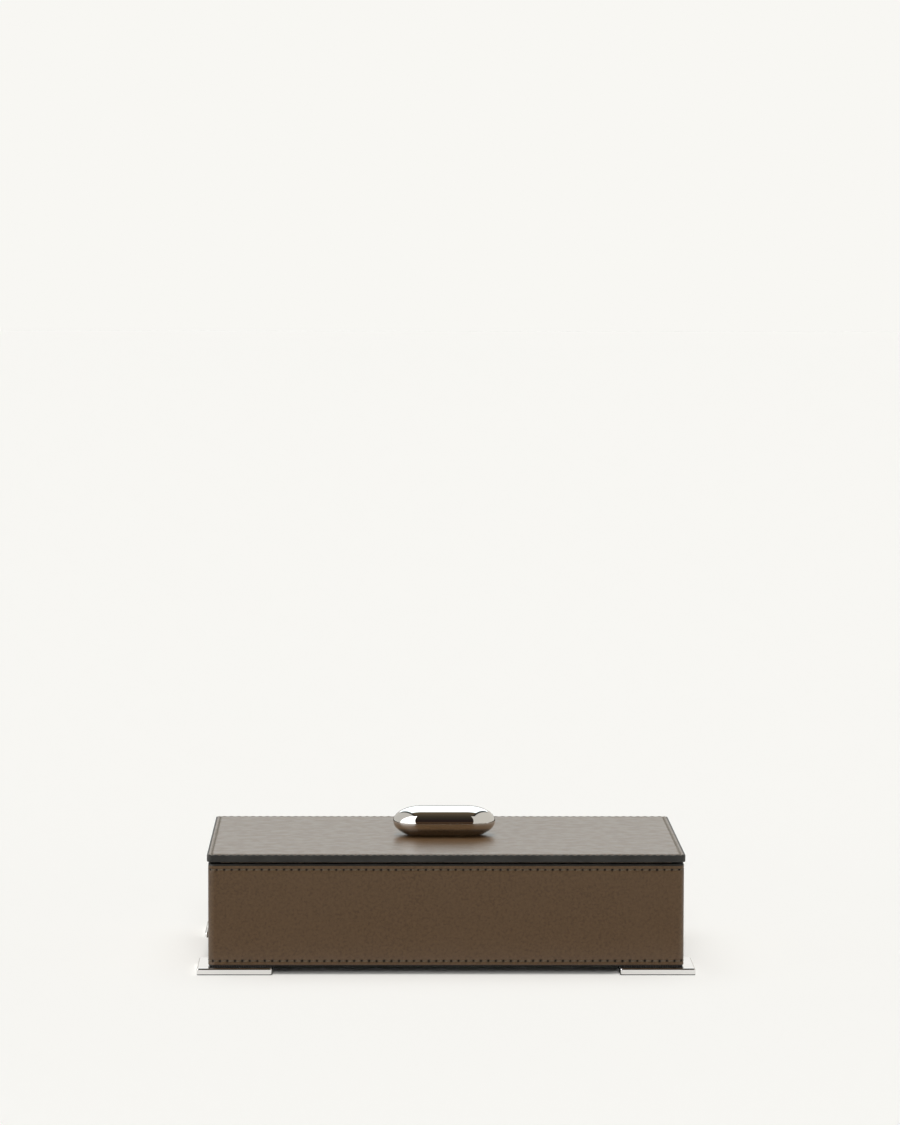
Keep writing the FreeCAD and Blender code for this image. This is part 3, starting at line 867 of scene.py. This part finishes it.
def floor():
    """Plain pale floor under the feet.

    Mirrors see it pale beside the box, dim ahead of the feet and paler again further out. It is dark in the
    opening and far behind, and painted dark under the box as the shade there.
    """
    finish = Finish("studio_floor")
    x, y, _ = finish.parts(finish.place())
    half_width, half_depth = packed_bounds[1][0], packed_bounds[1][1]
    beside = finish.between(x.size(), half_width + UNDER_BOX_SHADE_EDGE[0], half_width + UNDER_BOX_SHADE_EDGE[1])
    before = finish.between(y.size(), half_depth + UNDER_BOX_SHADE_EDGE[0], half_depth + UNDER_BOX_SHADE_EDGE[1])
    ahead = finish.blend(finish.between(y, *AHEAD_PALES), (0.85, 0.84, 0.72), (0.08, 0.08, 0.075))
    mirrored = finish.blend(finish.between(y, *AHEAD_OF_FEET), ahead, PALE)
    mirrored = finish.blend(finish.between(y, *OPENING_STARTS), (0.02, 0.015, 0.012), mirrored)
    mirrored = finish.blend(finish.between(y, *FAR_BEHIND), mirrored, FLOOR_DARK)
    # Painted shade: mirrors see the floor under the box dark, as the shade there
    mirrored = finish.blend((1 - beside) * (1 - before), mirrored, FLOOR_DARK)
    tone = finish.blend(finish.ray("Diffuse"), PALE, BOUNCE)
    tone = finish.blend(finish.ray("Glossy"), tone, mirrored)
    finish.shade(Base_Color=tone, Roughness=1.0, Specular_IOR_Level=0.0)
    reach = 12.0
    corners = [(-reach, -reach, 0), (reach, -reach, 0), (reach, reach, 0), (-reach, reach, 0)]
    mesh = bpy.data.meshes.new("studio_floor")
    mesh.from_pydata(corners, [], [(0, 1, 2, 3)])
    mesh.materials.append(finish.material)
    made = bpy.data.objects.new("studio_floor", mesh)
    bpy.context.scene.collection.objects.link(made)


# Middle of the studio as mirrors see it, by the angle in degrees from the camera's horizon over the top to
# the backdrop
MIDDLE_OF_STUDIO = [
    (0, (0.066, 0.038, 0.022)), (24, (0.066, 0.038, 0.022)), (28, (0.018, 0.012, 0.010)),
    (46, (0.024, 0.015, 0.013)), (67, (0.032, 0.028, 0.021)), (86, (0.050, 0.039, 0.026)),
    (102, (0.082, 0.066, 0.045)), (112, (0.120, 0.085, 0.049)), (120, (0.160, 0.120, 0.080)),
    (123, (1.62, 1.77, 1.79)), (166, (1.62, 1.77, 1.79)), (169.5, (0.97, 0.96, 0.925)),
    (172.5, (0.97, 0.96, 0.925)),
    (174, (0.15, 0.15, 0.14)), (180, (0.05, 0.05, 0.05)),
]
LEFT_PANEL = (2.40, 2.38, 2.33)
LEFT_PANEL_END = (0.60, 0.575, 0.53)
RIGHT_PANEL = (0.66, 0.63, 0.57)
DARK_GAP = (0.02, 0.018, 0.015)


def surroundings():
    """Studio as a pattern of directions. The eye sees a pale room and matt surfaces get a pale horizon.

    Mirrors see a dark opening on the camera's side that pales upwards, a white scrim from overhead to the
    back with a backdrop of the floor's tone below it, a bright panel on the left that is greyer behind,
    and a grey one on the right. The panels' edges stand at |x| = 0.19 z - 0.47 y towards the camera. Beside
    the scrim they stand at |x| = 0.28, or 0.75 z + 0.05 low down, with a narrow dark gap there.
    """
    world = bpy.data.worlds.new("studio")
    bpy.context.scene.world = world
    world.use_nodes = True
    world.cycles.sampling_method = "NONE"
    tree = Tree(world.node_tree)
    x, y, z = tree.parts(tree.node("ShaderNodeTexCoord", output="Generated"))
    over = y.math("ARCTAN2", y, z) * (1 / math.pi) + 0.5
    stops = [(degrees / 180, colour) for degrees, colour in MIDDLE_OF_STUDIO]
    middle = tree.node("ShaderNodeValToRGB", {"stops": stops}, {"Fac": over})
    overhead = tree.between(over, 0.49, 0.52)
    beside_scrim = (z * 0.75 + 0.05).below(0.28)
    limit = (z * 0.19 - y * 0.47) * (1 - overhead) + beside_scrim * overhead
    sideways = x.size() - limit
    left = tree.blend(tree.between(y, 0.04, 0.16), LEFT_PANEL, LEFT_PANEL_END)
    panels = tree.blend(tree.between(x, -0.02, 0.02), left, RIGHT_PANEL)
    mirrored = tree.blend(tree.between(sideways, -0.02, 0.02), middle, panels)
    gap = tree.between(sideways, -0.04, 0.0) * (1 - tree.between(sideways, 0.03, 0.08))
    mirrored = tree.blend(gap * overhead * tree.between(z, 0.30, 0.40), mirrored, DARK_GAP)
    seen = tree.ray("Camera").above(tree.ray("Transmission"))
    horizon = tree.blend(tree.between(z, 0.16, 0.22), (HORIZON_LIGHT,) * 3, (0, 0, 0))
    colour = tree.blend(tree.ray("Glossy"), horizon, mirrored)
    colour = tree.blend(seen, colour, PALE)
    background = world.node_tree.nodes["Background"]
    tree.feed(background, {"Color": colour, "Strength": 1.0})


def soft_lamp(name, share, elevation, azimuth, spread):
    """Broad lamp far away that gives the floor its share of light; azimuth 0 is the camera's side."""
    lamp = bpy.data.lights.new(name, "SUN")
    lamp.energy = share * math.pi / math.sin(math.radians(elevation))
    lamp.angle = math.radians(spread)
    made = bpy.data.objects.new(name, lamp)
    tilt = Matrix.Rotation(math.radians(90 - elevation), 4, "X")
    made.matrix_world = Matrix.Rotation(math.radians(azimuth), 4, "Z") @ tilt
    made.visible_glossy = False
    bpy.context.scene.collection.objects.link(made)


CAMERA_PLACE = (-38.17, -2639.32, 392.40)
CAMERA_PITCH = 4.1231
CAMERA_YAW = 0.8884
CAMERA_ROLL = 0.1248
CAMERA_LENS = 163.78


def camera():
    """Long lens in front of the box and a little above it."""
    lens = bpy.data.cameras.new("camera")
    lens.lens = CAMERA_LENS
    lens.sensor_width = 36.0
    lens.clip_start = 0.05
    lens.clip_end = 60.0
    made = bpy.data.objects.new("camera", lens)
    yaw = Matrix.Rotation(math.radians(-CAMERA_YAW), 4, "Z")
    pitch = Matrix.Rotation(math.radians(90 - CAMERA_PITCH), 4, "X")
    roll = Matrix.Rotation(math.radians(CAMERA_ROLL), 4, "Z")
    made.matrix_world = Matrix.Translation([value * MM for value in CAMERA_PLACE]) @ yaw @ pitch @ roll
    bpy.context.scene.collection.objects.link(made)
    bpy.context.scene.camera = made


floor()
surroundings()
soft_lamp("main_lamp", MAIN_LIGHT, elevation=89, azimuth=180, spread=8)
soft_lamp("back_lamp", BACK_LIGHT, elevation=76, azimuth=180, spread=66)
soft_lamp("front_lamp", FRONT_LIGHT, elevation=28, azimuth=0, spread=20)
camera()
bpy.context.scene.view_settings.view_transform = "Standard"
